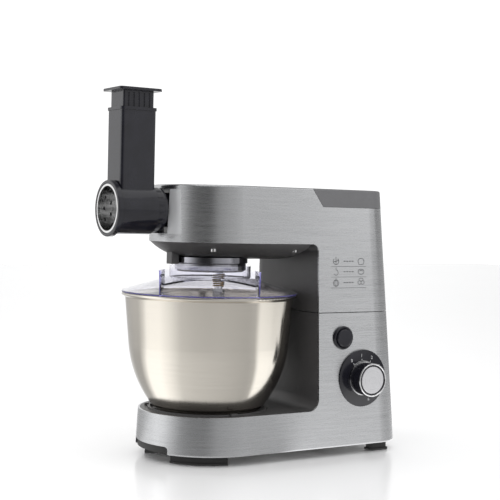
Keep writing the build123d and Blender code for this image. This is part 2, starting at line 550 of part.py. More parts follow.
def lid_parts():
    """Clear cone with an open neck round the hub, a skirt inside the bowl and a filler chute."""
    rim_r = BOWL_RIM_R - 0.4
    neck_in = NECK_R - NECK_WALL
    skirt_out, skirt_in, skirt_low = 112.3, 110.5, 213.5
    cone = turned([(rim_r, LID_LOW_Z), (rim_r, LID_LOW_Z + LID_SHEET), (NECK_R, NECK_Z + LID_SHEET),
                   (NECK_R, NECK_TOP_Z), (neck_in, NECK_TOP_Z), (neck_in, NECK_Z), (NECK_R, NECK_Z)])
    skirt = tube_z(skirt_out, skirt_in, skirt_low, LID_LOW_Z + LID_SHEET)
    under = turned([(0, 0), (130, 0), (130, LID_LOW_Z), (rim_r, LID_LOW_Z), (NECK_R, NECK_Z), (0, NECK_Z)])
    near, far, half, wall = NECK_R - 0.2, 101.0, 65.0, 2.2
    outer = Polyline((near, -half + 3), (far, -half), (far, half), (near, half - 3), close=True)
    inner = Polyline((near + wall, -half + 5.4), (far - wall, -half + 2.4), (far - wall, half - 2.4),
                     (near + wall, half - 5.4), close=True)
    chute_room = make_face(inner)
    walls = extrude(make_face(outer) - chute_room, CHUTE_TOP_Z) & rod_z(rim_r - 0.6, 200, CHUTE_TOP_Z)
    hole = extrude(chute_room, 300) & rod_z(skirt_in, 100, 300)
    turn = Rot(0, 0, -90 - CHUTE_TURN)
    lip = extrude(offset(make_face(outer), 0.9) - chute_room, -1.6)
    walls += Pos(0, 0, CHUTE_TOP_Z) * lip & rod_z(rim_r - 0.6, 200, CHUTE_TOP_Z)
    lid = cone + skirt - turn * hole
    lid += turn * (walls - under)
    save("splash_lid", lid - rod_z(neck_in, 200, 300))


# ---- slicer attachment ----------------------------------------------------------------------
def slicer_parts():
    hopper_y = HOPPER_HALF_Y
    column = block(HOPPER_X0, HOPPER_X1, -hopper_y, hopper_y, SPINDLE_Z, HOPPER_TOP)
    column = fillet(column.edges().filter_by(Axis.Z), 4.5)
    lip = block(HOPPER_X0 - 1.2, HOPPER_X1 + 1.2, -hopper_y - 1.2, hopper_y + 1.2, HOPPER_TOP - 4, HOPPER_TOP)
    column += fillet(lip.edges().filter_by(Axis.Z), 5.5)
    housing = column + rod_x(DRUM_HOUSING_R, -153, -97)
    housing += rod_x(26, -97, -88) + rod_x(20, -88, -70)
    wall = HOPPER_WALL
    shaft_way = block(HOPPER_X0 + wall, HOPPER_X1 - wall, -hopper_y + wall, hopper_y - wall, SPINDLE_Z, 500)
    shaft_way = fillet(shaft_way.edges().filter_by(Axis.Z), 2.5)
    housing -= shaft_way + rod_x(DRUM_HOUSING_R - 1.8, -160, -99.5)
    housing -= rod_x(12, -95.5, -60) + rod_x(SHAFT_R + RUNNING_FIT, -105, -60)
    save("slicer_housing", housing)
    ring = tube_x(36.8, DRUM_HOUSING_R - 0.6, SLICER_FRONT_X, -153)
    ring += tube_x(36.8, DRUM_HOUSING_R, -153, -150)
    ring = fillet(ring.faces().sort_by(Axis.X)[0].edges().sort_by(SortBy.LENGTH)[-1], 1.2)
    save("slicer_front_ring", ring)
    collar = tube_x(30, 26.1, -96.5, -88) + tube_x(29, 20.1, -88, -82.2)
    for turn in range(0, 360, 20):
        groove = Rot(turn, 0, 0) * rod_x(1.4, -100, -88, 0, 30.6)
        collar -= Pos(0, 0, SPINDLE_Z) * groove
    save("locking_collar", collar)

    drum = tube_x(DRUM_R, DRUM_R - 1.0, -155.5, -102) + tube_x(32.0, DRUM_R - 1.0, -156.6, -155.2)
    drum += rod_x(DRUM_R, -103, -101.5)
    for row in range(5):
        for turn in range(0, 360, 30):
            slot = block(-1.2, 1.2, -2.6, 2.6, DRUM_R - 3, DRUM_R + 3)
            spin = Rot(turn + 15 * (row % 2), 0, 0)
            drum -= Pos(-147 + row * 9.5, 0, SPINDLE_Z) * spin * slot
    save("slicer_drum", drum - block(-110, -90, -3.5, 3.5, SPINDLE_Z - 3.5, SPINDLE_Z + 3.5))
    shaft = block(-103, -101.5, -3.5, 3.5, SPINDLE_Z - 3.5, SPINDLE_Z + 3.5) + rod_x(SHAFT_R, -101.5, -84)
    save("drum_shaft", shaft + block(-84, -62, -3.5, 3.5, SPINDLE_Z - 3.5, SPINDLE_Z + 3.5))

    slack = HOPPER_WALL + 0.6
    x0, x1, y = HOPPER_X0 + slack, HOPPER_X1 - slack, hopper_y - slack
    body = block(x0, x1, -y, y, PUSHER_FOOT_Z, PUSHER_TOP_Z)
    body = fillet(body.edges().filter_by(Axis.Z), 2.5)
    for flute in range(-2, 3):
        body -= rod_z(1.1, PUSHER_FOOT_Z + 6, PUSHER_TOP_Z - 6, (x0 + x1) / 2 + flute * 7.5, -y - 0.4)
        body -= rod_z(1.1, PUSHER_FOOT_Z + 6, PUSHER_TOP_Z - 6, (x0 + x1) / 2 + flute * 7.5, y + 0.4)
    plate = block(x0 - 8.5, x1 + 8.5, -y - 8.5, y + 8.5, PUSHER_TOP_Z - 3.6, PUSHER_TOP_Z)
    plate = fillet(plate.edges().filter_by(Axis.Z), 5)
    plate = fillet(plate.faces().sort_by(Axis.Z)[-1].edges(), 1.0)
    pusher = body + plate
    cup = block(x0 + 2.2, x1 - 2.2, -y + 2.2, y - 2.2, PUSHER_FOOT_Z + 2.2, PUSHER_TOP_Z + 5)
    save("pusher", pusher - fillet(cup.edges().filter_by(Axis.Z), 1.5))


os.makedirs("parts", exist_ok=True)
base_parts()
control_parts()
hinge_parts()
head_parts()
drive_parts()
tool_parts()
bowl_parts()
lid_parts()
slicer_parts()
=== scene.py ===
import json
import math

import bmesh
import bpy
from mathutils import Matrix, Vector


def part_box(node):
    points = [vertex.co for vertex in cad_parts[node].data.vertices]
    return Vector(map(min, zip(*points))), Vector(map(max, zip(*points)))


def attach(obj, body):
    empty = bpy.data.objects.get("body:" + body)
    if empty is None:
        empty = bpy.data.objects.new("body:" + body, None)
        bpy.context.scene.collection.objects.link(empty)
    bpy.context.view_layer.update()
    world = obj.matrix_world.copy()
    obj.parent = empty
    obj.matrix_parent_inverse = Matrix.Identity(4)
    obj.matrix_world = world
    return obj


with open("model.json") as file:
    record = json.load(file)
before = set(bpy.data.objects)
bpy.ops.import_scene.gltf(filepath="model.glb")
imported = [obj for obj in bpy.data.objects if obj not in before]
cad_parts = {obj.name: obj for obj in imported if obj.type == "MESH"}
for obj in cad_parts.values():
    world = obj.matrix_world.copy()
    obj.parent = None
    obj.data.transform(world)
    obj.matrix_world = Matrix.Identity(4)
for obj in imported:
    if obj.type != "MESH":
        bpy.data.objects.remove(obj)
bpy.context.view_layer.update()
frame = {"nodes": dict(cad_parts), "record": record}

MM = 0.001
NODES = frame["nodes"]


# ---- places worked out from the frame ---------------------------------------------------
def middle(node):
    low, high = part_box(node)
    return (low + high) / 2


BOWL = middle("bowl")
BOWL_X = BOWL.x
DIAL = middle("dial_bezel")
DIAL_FACE_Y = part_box("dial_bezel")[0].y
SPINDLE_Z = middle("slicer_drum").z
# Driving sizes of the CAD part that pieces here have to follow.
SIDE_AT_FLOOR, SIDE_DRAFT, FOOT_DROP = 97.5 * MM, 0.045, 3 * MM
DIAL_CROWN_R = 520 * MM
BOWL_RIM_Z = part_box("bowl")[1].z
CHUTE_TOP_Z = 252 * MM + FOOT_DROP
CHUTE_TURN = math.radians(-120)
CHUTE_FAR, CHUTE_NEAR, CHUTE_HALF = 101.6 * MM, 56 * MM, 65 * MM
HUB_BAND_X, HUB_BAND_HALF_Z = -70.5 * MM, 29.5 * MM
SEAM_Z, HEAD_CUT_TOP_Z = 194.3 * MM, 277.9 * MM
CORNER_X, CORNER_R, CORNER_INSET = 156 * MM, 35 * MM, 34 * MM
FILM_GAP = 0.03 * MM


def half_width(z):
    """Half the body's width at a height above the table: its sides lean in a little."""
    return SIDE_AT_FLOOR - SIDE_DRAFT * (z - FOOT_DROP)


# ---- camera -----------------------------------------------------------------------------
def add_camera():
    """Level studio view from the front left, a long lens, with the camera rolled a little."""
    turn, tilt, roll = math.radians(32), math.radians(1.454), math.radians(1.29)
    distance, aside, eye_height, lens = 1.617, -0.054, 0.322, 85.1
    level = Vector((math.sin(turn), math.cos(turn), 0))
    right = Vector((math.cos(turn), -math.sin(turn), 0))
    ahead = (level * math.cos(tilt) - Vector((0, 0, 1)) * math.sin(tilt)).normalized()
    up = right.cross(ahead)
    right_rolled = right * math.cos(roll) + up * math.sin(roll)
    up_rolled = up * math.cos(roll) - right * math.sin(roll)
    place = Vector((BOWL_X, 0, eye_height)) - level * distance - right * aside
    camera = bpy.data.objects.new("camera", bpy.data.cameras.new("camera"))
    axes = Matrix((right_rolled, up_rolled, -ahead)).transposed()
    camera.matrix_world = Matrix.Translation(place) @ axes.to_4x4()
    camera.data.lens = lens
    camera.data.sensor_width = 36
    bpy.context.scene.collection.objects.link(camera)
    bpy.context.scene.camera = camera
    return -level, right


TO_CAMERA, TO_RIGHT = add_camera()


# ---- studio -----------------------------------------------------------------------------
def softbox(name, degrees_right, distance, height, width, tall, watts, aim_z=0.2):
    """A soft rectangular light, placed by its angle from the camera's side of the object."""
    a = math.radians(degrees_right)
    place = (TO_CAMERA * math.cos(a) + TO_RIGHT * math.sin(a)) * distance + Vector((0, 0, height))
    light = bpy.data.objects.new(name, bpy.data.lights.new(name, "AREA"))
    light.data.shape = "RECTANGLE"
    light.data.size, light.data.size_y = width, tall
    light.data.energy = watts
    light.location = place
    aim = Vector((0, 0, aim_z)) - place
    light.rotation_euler = aim.to_track_quat("-Z", "Y").to_euler()
    light.visible_camera = False
    bpy.context.scene.collection.objects.link(light)


# Brightness of the studio's walls and floor as polished surfaces see them, by degrees to the
# right of the camera: dark behind the camera, bright screens at both sides.
WALL_LEVELS = [(-180, 1.1), (-150, 0.75), (-118, 1.15), (-100, 1.2), (-88, 1.45), (-70, 1.15),
               (-54, 0.6), (-38, 0.17), (-24, 0.045), (-8, 0.03), (1, 0.05), (9, 0.2), (18, 0.4),
               (36, 0.56), (55, 0.7), (64, 0.84), (70, 0.7), (78, 0.38), (112, 0.36), (150, 0.5),
               (180, 1.1)]
# The floor's levels are painted light: a glow that the floor gives only to reflections in polished
# surfaces.
FLOOR_LEVELS = [(-180, 1.5), (-150, 0.8), (-132, 0.55), (-108, 0.58), (-96, 1.2), (-90, 1.7),
                (-66, 1.75), (-50, 1.45), (-34, 1.0), (-16, 0.88), (20, 0.76), (56, 0.62),
                (66, 0.7), (73, 1.65), (93, 1.6), (99, 1.5), (122, 1.9), (140, 1.0), (180, 1.1)]
WHITE_ROOM, UPPER_WALLS = 1.13, 0.55


def grey(level):
    return (level, level, level, 1)


def level_ramp(node, way, levels):
    """Brightness looked up by the level direction of a vector, from the camera's side round."""
    facing = node("ShaderNodeVectorMath", (0, way), (1, TO_CAMERA), operation="DOT_PRODUCT")
    aside = node("ShaderNodeVectorMath", (0, way), (1, TO_RIGHT), operation="DOT_PRODUCT")
    angle = node("ShaderNodeMath", (0, aside.outputs["Value"]), (1, facing.outputs["Value"]),
                 operation="ARCTAN2")
    turn = node("ShaderNodeMapRange", (0, angle.outputs[0]), (1, -math.pi), (2, math.pi))
    ramp = node("ShaderNodeValToRGB", (0, turn.outputs[0]))
    fill_ramp(ramp, [((degrees + 180) / 360, grey(level)) for degrees, level in levels])
    return ramp.outputs[0]


def node_maker(tree):
    def node(kind, *inputs, **settings):
        made = tree.nodes.new(kind)
        for key, value in settings.items():
            setattr(made, key, value)
        for socket, value in inputs:
            if hasattr(value, "is_linked"):
                tree.links.new(value, made.inputs[socket])
            else:
                made.inputs[socket].default_value = value
        return made
    return node


def polished_view(node):
    """1 where the light is on its way to a polished surface, 0 for the eye and clear parts."""
    path = node("ShaderNodeLightPath")
    opaque = node("ShaderNodeMath", (0, 1.0), (1, path.outputs["Is Transmission Ray"]),
                  operation="SUBTRACT")
    mirror = node("ShaderNodeMath", (0, path.outputs["Is Glossy Ray"]), (1, opaque.outputs[0]),
                  operation="MULTIPLY")
    return mirror.outputs[0]


def add_world():
    """White room to the eye and through clear parts; polished surfaces see dark and bright walls."""
    world = bpy.data.worlds.new("studio")
    bpy.context.scene.world = world
    world.use_nodes = True
    tree = world.node_tree
    tree.nodes.clear()
    node = node_maker(tree)
    way = node("ShaderNodeTexCoord").outputs["Generated"]
    walls = level_ramp(node, way, WALL_LEVELS)
    height = node("ShaderNodeSeparateXYZ", (0, way))
    lift = node("ShaderNodeMapRange", (0, height.outputs["Z"]), (1, 0.5), (2, 1.0))
    lifted = node("ShaderNodeMix", ("Factor", lift.outputs[0]), ("A", walls),
                  ("B", grey(UPPER_WALLS)), data_type="RGBA")
    seen = node("ShaderNodeMix", ("Factor", polished_view(node)), ("A", grey(WHITE_ROOM)),
                ("B", lifted.outputs["Result"]), data_type="RGBA")
    back = node("ShaderNodeBackground", ("Color", seen.outputs["Result"]))
    node("ShaderNodeOutputWorld", ("Surface", back.outputs[0]))


def floor_paint():
    """Pale, faintly glossy table top; to polished surfaces it is painted light, a glow brighter towards
    the screens at both sides.
    """
    paint = Finish("floor_white", base=(0.90, 0.90, 0.905), rough=0.2, specular=0.45)
    cloud = paint.noise((1.5, 1.5, 1.5), detail=2)
    paint.colour(cloud, (0.895, 0.895, 0.90), (0.905, 0.905, 0.91))
    node = node_maker(paint.tree)
    place = node("ShaderNodeTexCoord").outputs["Object"]
    about = node("ShaderNodeVectorMath", (0, place), (1, (BOWL_X, 0, 0)), operation="SUBTRACT")
    levels = level_ramp(node, about.outputs[0], FLOOR_LEVELS)
    # Painted light: the floor glows for reflections, by angle round the bowl, instead of being lit.
    painted_floor_glow = node("ShaderNodeEmission", ("Color", levels))
    shine = node("ShaderNodeBsdfGlossy", ("Color", grey(0.70)), ("Roughness", 0.12))
    fresnel = node("ShaderNodeFresnel", ("IOR", 1.9))
    skimming = node("ShaderNodeMapRange", (0, fresnel.outputs[0]), (1, 0.33), (2, 0.56))
    table = node("ShaderNodeMixShader", (0, skimming.outputs[0]), (1, painted_floor_glow.outputs[0]),
                 (2, shine.outputs[0]))
    both = node("ShaderNodeMixShader", (0, polished_view(node)), (1, paint.bsdf.outputs[0]),
                (2, table.outputs[0]))
    paint.tree.links.new(both.outputs[0], paint.tree.nodes["Material Output"].inputs["Surface"])
    return paint.material


def fill_ramp(ramp, stops):
    while len(ramp.color_ramp.elements) < len(stops):
        ramp.color_ramp.elements.new(0.5)
    for element, (spot, colour) in zip(ramp.color_ramp.elements, stops):
        element.position = spot
        element.color = colour


def add_studio():
    add_world()
    softbox("left_box", -80, 1.3, 0.95, 0.75, 1.2, 2.2)
    softbox("right_box", 84, 1.4, 1.0, 0.85, 1.2, 2.2)
    softbox("top_box", 20, 0.25, 1.5, 1.3, 1.3, 3.2)
    mesh = bpy.data.meshes.new("floor")
    half = 6.0
    corners = [(-half, -half, 0), (half, -half, 0), (half, half, 0), (-half, half, 0)]
    mesh.from_pydata(corners, [], [(0, 1, 2, 3)])
    floor = bpy.data.objects.new("floor", mesh)
    bpy.context.scene.collection.objects.link(floor)
    mesh.materials.append(floor_paint())
    bpy.context.scene.view_settings.view_transform = "Standard"


# ---- materials --------------------------------------------------------------------------
class Finish:
    """A Principled material with short calls for the nodes that give it its grain."""

    SOCKETS = {"rough": "Roughness", "metal": "Metallic", "coat": "Coat Weight", "ior": "IOR",
               "coat_rough": "Coat Roughness", "clear": "Transmission Weight",
               "spread": "Anisotropic", "specular": "Specular IOR Level"}

    def __init__(self, name, base, **settings):
        self.material = bpy.data.materials.new(name)
        self.material.use_nodes = True
        self.tree = self.material.node_tree
        self.bsdf = self.tree.nodes["Principled BSDF"]
        self.bsdf.inputs["Base Color"].default_value = (*base, 1)
        for key, value in settings.items():
            self.bsdf.inputs[self.SOCKETS[key]].default_value = value
        self.base = base

    def node(self, kind, inputs=None, **settings):
        made = self.tree.nodes.new(kind)
        for key, value in settings.items():
            setattr(made, key, value)
        for key, value in (inputs or {}).items():
            socket = made.inputs[key]
            if hasattr(value, "is_linked"):
                self.tree.links.new(value, socket)
            else:
                socket.default_value = value
        return made

    def noise(self, stretch, detail=3.0, rough=0.55):
        """Noise in the object's own coordinates; stretch is waves per metre along x, y and z."""
        place = self.node("ShaderNodeTexCoord").outputs["Object"]
        spread = self.node("ShaderNodeVectorMath", {0: place, 1: stretch}, operation="MULTIPLY")
        made = self.node("ShaderNodeTexNoise", {"Vector": spread.outputs[0], "Scale": 1.0,
                                                "Detail": detail, "Roughness": rough})
        return made.outputs["Fac"]

    def mix(self, factor, low, high):
        """Value between low and high by factor."""
        made = self.node("ShaderNodeMapRange", {0: factor, 1: 0.25, 2: 0.75, 3: low, 4: high})
        return made.outputs[0]

    def average(self, first, second, share):
        made = self.node("ShaderNodeMix", {"Factor": share, "A": first, "B": second}, data_type="FLOAT")
        return made.outputs["Result"]

    def colour(self, factor, low, high):
        ramp = self.node("ShaderNodeValToRGB", {0: factor})
        fill_ramp(ramp, [(0.25, (*low, 1)), (0.75, (*high, 1))])
        self.tree.links.new(ramp.outputs[0], self.bsdf.inputs["Base Color"])
        return ramp.outputs[0]

    def roughness(self, factor, low, high):
        self.tree.links.new(self.mix(factor, low, high), self.bsdf.inputs["Roughness"])

    def bump(self, height, depth, edge=0.0):
        """Bump of that depth in metres, over edges softened by the given radius."""
        made = self.node("ShaderNodeBump", {"Height": height, "Distance": depth, "Strength": 1.0})
        if edge:
            soft = self.node("ShaderNodeBevel", {"Radius": edge}, samples=4)
            self.tree.links.new(soft.outputs[0], made.inputs["Normal"])
        self.tree.links.new(made.outputs[0], self.bsdf.inputs["Normal"])

    def brushed_along_level(self):
        """Highlights drawn out across brushing that runs level round the object."""
        self.bsdf.inputs["Anisotropic Rotation"].default_value = 0.25
        tangent = self.node("ShaderNodeTangent", direction_type="RADIAL", axis="Z")
        self.tree.links.new(tangent.outputs[0], self.bsdf.inputs["Tangent"])

    def shades(self, scale):
        """A tint of the base colour."""
        return tuple(min(1.0, c * scale) for c in self.base)


def brushed_lacquer():
    made = Finish("brushed_shell", (0.50, 0.505, 0.515), metal=1.0, rough=0.27, spread=0.8)
    coarse = made.noise((16, 16, 560), detail=3)
    fine = made.noise((60, 60, 2400), detail=3)
    sides = made.average(coarse, fine, 0.5)
    top = made.average(made.noise((16, 560, 16), detail=3), made.noise((60, 2400, 60)), 0.5)
    upward = made.node("ShaderNodeSeparateXYZ", {0: made.node("ShaderNodeTexCoord").outputs["Normal"]})
    level = made.node("ShaderNodeMath", {0: upward.outputs["Z"], 1: 0.7}, operation="GREATER_THAN")
    grain = made.average(sides, top, level.outputs[0])
    smooth = hub_surround(made)
    brushed = made.average(grain, 0.5, smooth)
    metal_share = made.node("ShaderNodeMapRange", {0: smooth, 3: 1.0, 4: 0.3})
    made.tree.links.new(metal_share.outputs[0], made.bsdf.inputs["Metallic"])
    made.colour(brushed, made.shades(0.90), made.shades(1.09))
    made.roughness(brushed, 0.23, 0.32)
    made.bump(brushed, 0.00002, edge=0.0004)
    made.brushed_along_level()
    return made.material


def hub_surround(made):
    """1 on the smooth band of the nose round the attachment hub, 0 on the brushed rest."""
    place = made.node("ShaderNodeSeparateXYZ", {0: made.node("ShaderNodeTexCoord").outputs["Object"]})
    middle_z = SPINDLE_Z - 2 * MM
    steps = [(place.outputs["X"], BOWL_X + HUB_BAND_X, "LESS_THAN"),
             (place.outputs["Z"], middle_z + HUB_BAND_HALF_Z, "LESS_THAN"),
             (place.outputs["Z"], middle_z - HUB_BAND_HALF_Z, "GREATER_THAN")]
    front, below, above = [made.node("ShaderNodeMath", {0: value, 1: limit}, operation=test).outputs[0]
                           for value, limit, test in steps]
    beside = made.node("ShaderNodeMath", {0: below, 1: above}, operation="MULTIPLY")
    both = made.node("ShaderNodeMath", {0: front, 1: beside.outputs[0]}, operation="MULTIPLY")
    return both.outputs[0]


def satin_plastic():
    made = Finish("dark_plastic", (0.068, 0.066, 0.067), rough=0.4)
    grain = made.average(made.noise((900, 900, 900)), made.noise((60, 60, 60)), 0.25)
    made.colour(grain, made.shades(0.8), made.shades(1.25))
    made.roughness(grain, 0.33, 0.46)
    made.bump(grain, 0.00003, edge=0.0004)
    return made.material


def cover_plastic():
    made = Finish("cover_grey", (0.13, 0.13, 0.135), rough=0.4)
    grain = made.average(made.noise((900, 900, 900)), made.noise((60, 60, 60)), 0.25)
    made.colour(grain, made.shades(0.88), made.shades(1.12))
    made.roughness(grain, 0.34, 0.46)
    made.bump(grain, 0.00003, edge=0.0004)
    return made.material


# Near-black, dull plastic for the chassis plate: painted shade for the dark under the body.
def shadow_plastic():
    made = Finish("painted_shade_black", (0.012, 0.012, 0.012), rough=0.6)
    grain = made.noise((700, 700, 700))
    made.colour(grain, made.shades(0.7), made.shades(1.3))
    made.roughness(grain, 0.5, 0.7)
    made.bump(grain, 0.00004)
    return made.material


def violet_edge():
    """The lid's moulded edges, where its clear plastic gathers a violet tint."""
    made = Finish("violet_edge", (0.22, 0.20, 0.62), rough=0.12, clear=0.55, ior=1.45)
    haze = made.noise((160, 160, 160), detail=2)
    made.colour(haze, made.shades(0.7), made.shades(1.3))
    made.roughness(haze, 0.06, 0.2)
    return made.material


def piano_black():
    made = Finish("gloss_black", (0.009, 0.009, 0.013), rough=0.12, coat=0.2, coat_rough=0.04,
                  specular=0.42)
    haze = made.noise((45, 45, 45), detail=5)
    made.colour(haze, made.shades(0.8), made.shades(1.6))
    made.roughness(haze, 0.08, 0.2)
    made.bump(haze, 0.00002, edge=0.0005)
    return made.material


def bowl_steel():
    made = Finish("bowl_steel", (0.62, 0.585, 0.525), metal=1.0, rough=0.22, spread=0.8)
    coarse = made.noise((8, 8, 300), detail=3)
    fine = made.noise((40, 40, 2600), detail=3)
    grain = made.average(coarse, fine, 0.6)
    made.colour(grain, made.shades(0.95), made.shades(1.05))
    made.roughness(grain, 0.14, 0.21)
    made.bump(grain, 0.000006)
    made.brushed_along_level()
    return made.material


def bright_steel():
    made = Finish("bright_steel", (0.78, 0.78, 0.78), metal=1.0, rough=0.14)
    grain = made.noise((700, 120, 120), detail=3)
    made.colour(grain, made.shades(0.88), made.shades(1.1))
    made.roughness(grain, 0.1, 0.22)
    made.bump(grain, 0.00002, edge=0.0002)
    return made.material


def smoked_chrome():
    made = Finish("dark_chrome", (0.40, 0.40, 0.44), metal=1.0, rough=0.08)
    haze = made.noise((30, 30, 90), detail=4)
    made.colour(haze, made.shades(0.9), made.shades(1.1))
    made.roughness(haze, 0.05, 0.13)
    made.bump(haze, 0.00003, edge=0.0004)
    return made.material


def polished_chrome():
    made = Finish("chrome_trim", (0.88, 0.88, 0.89), metal=1.0, rough=0.06)
    haze = made.noise((200, 200, 200), detail=3)
    made.colour(haze, made.shades(0.94), made.shades(1.04))
    made.roughness(haze, 0.04, 0.1)
    made.bump(haze, 0.00001, edge=0.0002)
    return made.material


def spun_silver():
    """Knob face, turned in fine rings about the dial's axis."""
    made = Finish("silver_cap", (0.62, 0.62, 0.635), metal=0.85, rough=0.34)
    place = made.node("ShaderNodeTexCoord").outputs["Object"]
    away = made.node("ShaderNodeVectorMath", {0: place, 1: DIAL}, operation="SUBTRACT")
    flat = made.node("ShaderNodeVectorMath", {0: away.outputs[0], 1: (1, 0, 1)}, operation="MULTIPLY")
    radius = made.node("ShaderNodeVectorMath", {0: flat.outputs[0]}, operation="LENGTH")
    spread = made.node("ShaderNodeMath", {0: radius.outputs["Value"], 1: 2600.0}, operation="MULTIPLY")
    rings = made.node("ShaderNodeTexNoise", {"W": spread.outputs[0], "Scale": 1.0, "Detail": 2.0},
                      noise_dimensions="1D").outputs["Fac"]
    made.colour(rings, made.shades(0.88), made.shades(1.1))
    made.roughness(rings, 0.26, 0.42)
    made.bump(rings, 0.00003, edge=0.0004)
    return made.material


def clear_plastic():
    """Clear moulding that turns violet only where light runs along inside it, at its edges."""
    made = Finish("clear_lid", (0.99, 0.99, 1.0), rough=0.02, clear=1.0, ior=1.45)
    haze = made.noise((40, 40, 40), detail=4)
    made.colour(haze, (0.975, 0.975, 0.995), (1.0, 1.0, 1.0))
    made.roughness(haze, 0.0, 0.03)
    made.bump(haze, 0.00002)
    depth = made.node("ShaderNodeVolumeAbsorption", {"Color": (0.30, 0.26, 0.92, 1), "Density": 15.0})
    out = made.tree.nodes["Material Output"]
    made.tree.links.new(depth.outputs[0], out.inputs["Volume"])
    return made.material


def foot_rubber():
    made = Finish("foot_rubber", (0.02, 0.02, 0.02), rough=0.7)
    grain = made.noise((1500, 1500, 1500), detail=2)
    made.colour(grain, made.shades(0.7), made.shades(1.5))
    made.roughness(grain, 0.6, 0.8)
    made.bump(grain, 0.00005, edge=0.0003)
    return made.material


def cast_alloy():
    made = Finish("cast_alloy", (0.62, 0.62, 0.63), metal=1.0, rough=0.42)
    grain = made.average(made.noise((1200, 1200, 1200)), made.noise((90, 90, 90)), 0.4)
    made.colour(grain, made.shades(0.8), made.shades(1.12))
    made.roughness(grain, 0.34, 0.52)
    made.bump(grain, 0.00008, edge=0.0006)
    return made.material


def bush_bronze():
    made = Finish("bush_bronze", (0.55, 0.38, 0.18), metal=1.0, rough=0.38)
    grain = made.noise((1800, 1800, 1800), detail=2)
    made.colour(grain, made.shades(0.7), made.shades(1.15))
    made.roughness(grain, 0.32, 0.48)
    made.bump(grain, 0.00003)
    return made.material


def gear_nylon():
    made = Finish("gear_nylon", (0.74, 0.72, 0.65), rough=0.4)
    grain = made.noise((300, 300, 300), detail=4)
    made.colour(grain, made.shades(0.94), made.shades(1.05))
    made.roughness(grain, 0.34, 0.46)
    made.bump(grain, 0.00002, edge=0.0003)
    return made.material


def motor_iron():
    made = Finish("motor_iron", (0.16, 0.16, 0.17), metal=1.0, rough=0.45)
    sheets = made.noise((4, 4, 2000), detail=1)
    made.colour(sheets, made.shades(0.6), made.shades(1.4))
    made.roughness(sheets, 0.36, 0.55)
    made.bump(sheets, 0.00008)
    return made.material


def board_green():
    made = Finish("board_green", (0.03, 0.19, 0.08), rough=0.3)
    tracks = made.noise((140, 140, 140), detail=1)
    made.colour(tracks, made.shades(0.75), made.shades(1.5))
    made.roughness(tracks, 0.24, 0.4)
    made.bump(tracks, 0.00003)
    return made.material


MAKERS = {
    "brushed_shell": brushed_lacquer, "dark_plastic": satin_plastic, "gloss_black": piano_black,
    "bowl_steel": bowl_steel, "bright_steel": bright_steel, "dark_chrome": smoked_chrome,
    "chrome_trim": polished_chrome, "silver_cap": spun_silver, "clear_lid": clear_plastic,
    "foot_rubber": foot_rubber, "cast_alloy": cast_alloy, "bush_bronze": bush_bronze,
    "gear_nylon": gear_nylon, "motor_iron": motor_iron, "board_green": board_green,
}


def paint_nodes():
    """Every CAD node gets its slot's finish, but two black plastics: lighter on the rear cover,
    deeper and duller on the chassis plate, whose near-black is painted shade for the dark under the
    body."""
    finishes = {slot: maker() for slot, maker in MAKERS.items()}
    for part in frame["record"]["subparts"]:
        node = NODES[part["node"]]
        node.data.materials.clear()
        node.data.materials.append(finishes[part["material_slot"]])
    NODES["rear_top_cover"].data.materials[0] = cover_plastic()
    NODES["bottom_plate"].data.materials[0] = shadow_plastic()
    return finishes


# ---- printed marks and small trim -----------------------------------------------------------
def link(name, mesh, body, finish):
    piece = bpy.data.objects.new(name, mesh)
    bpy.context.scene.collection.objects.link(piece)
    piece.data.materials.clear()
    piece.data.materials.append(finish)
    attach(piece, body)
    return piece


def stroke_quads(points, width):
    """Corners of a ribbon of that width along a list of points in a plane."""
    rims = []
    for index, point in enumerate(points):
        before, after = points[max(index - 1, 0)], points[min(index + 1, len(points) - 1)]
        along = Vector(after) - Vector(before)
        side = Vector((-along.y, along.x)).normalized() * width / 2
        rims.append((Vector(point) - side, Vector(point) + side))
    return rims


def print_on(name, strokes, place, body, finish, thick=0.08 * MM):
    """Thin printed film: each stroke is (points, width) in a flat drawing put on a face by place."""
    mesh = bmesh.new()
    for points, width in strokes:
        rims = stroke_quads(points, width)
        rows = [[mesh.verts.new(place(corner, lift)) for corner in rim for lift in (0, thick)]
                for rim in rims]
        order = (0, 1, 3, 2)
        for row, following in zip(rows, rows[1:]):
            for here, there in zip(order, order[1:] + order[:1]):
                mesh.faces.new((row[here], row[there], following[there], following[here]))
        for row in (rows[0], rows[-1]):
            mesh.faces.new([row[corner] for corner in order])
    bmesh.ops.recalc_face_normals(mesh, faces=mesh.faces)
    data = bpy.data.meshes.new(name)
    mesh.to_mesh(data)
    mesh.free()
    return link(name, data, body, finish)


def arc(centre, radius, first, last, steps=14, squash=1.0):
    turns = [math.radians(first + (last - first) * step / steps) for step in range(steps + 1)]
    return [(centre[0] + radius * math.cos(a), centre[1] + radius * squash * math.sin(a))
            for a in turns]


def side_place(corner, lift):
    """Drawing in metres from the bowl's axis and the table, laid on the leaning control side."""
    x, z = corner
    return (BOWL_X + x, -half_width(z) - FILM_GAP - lift, z)


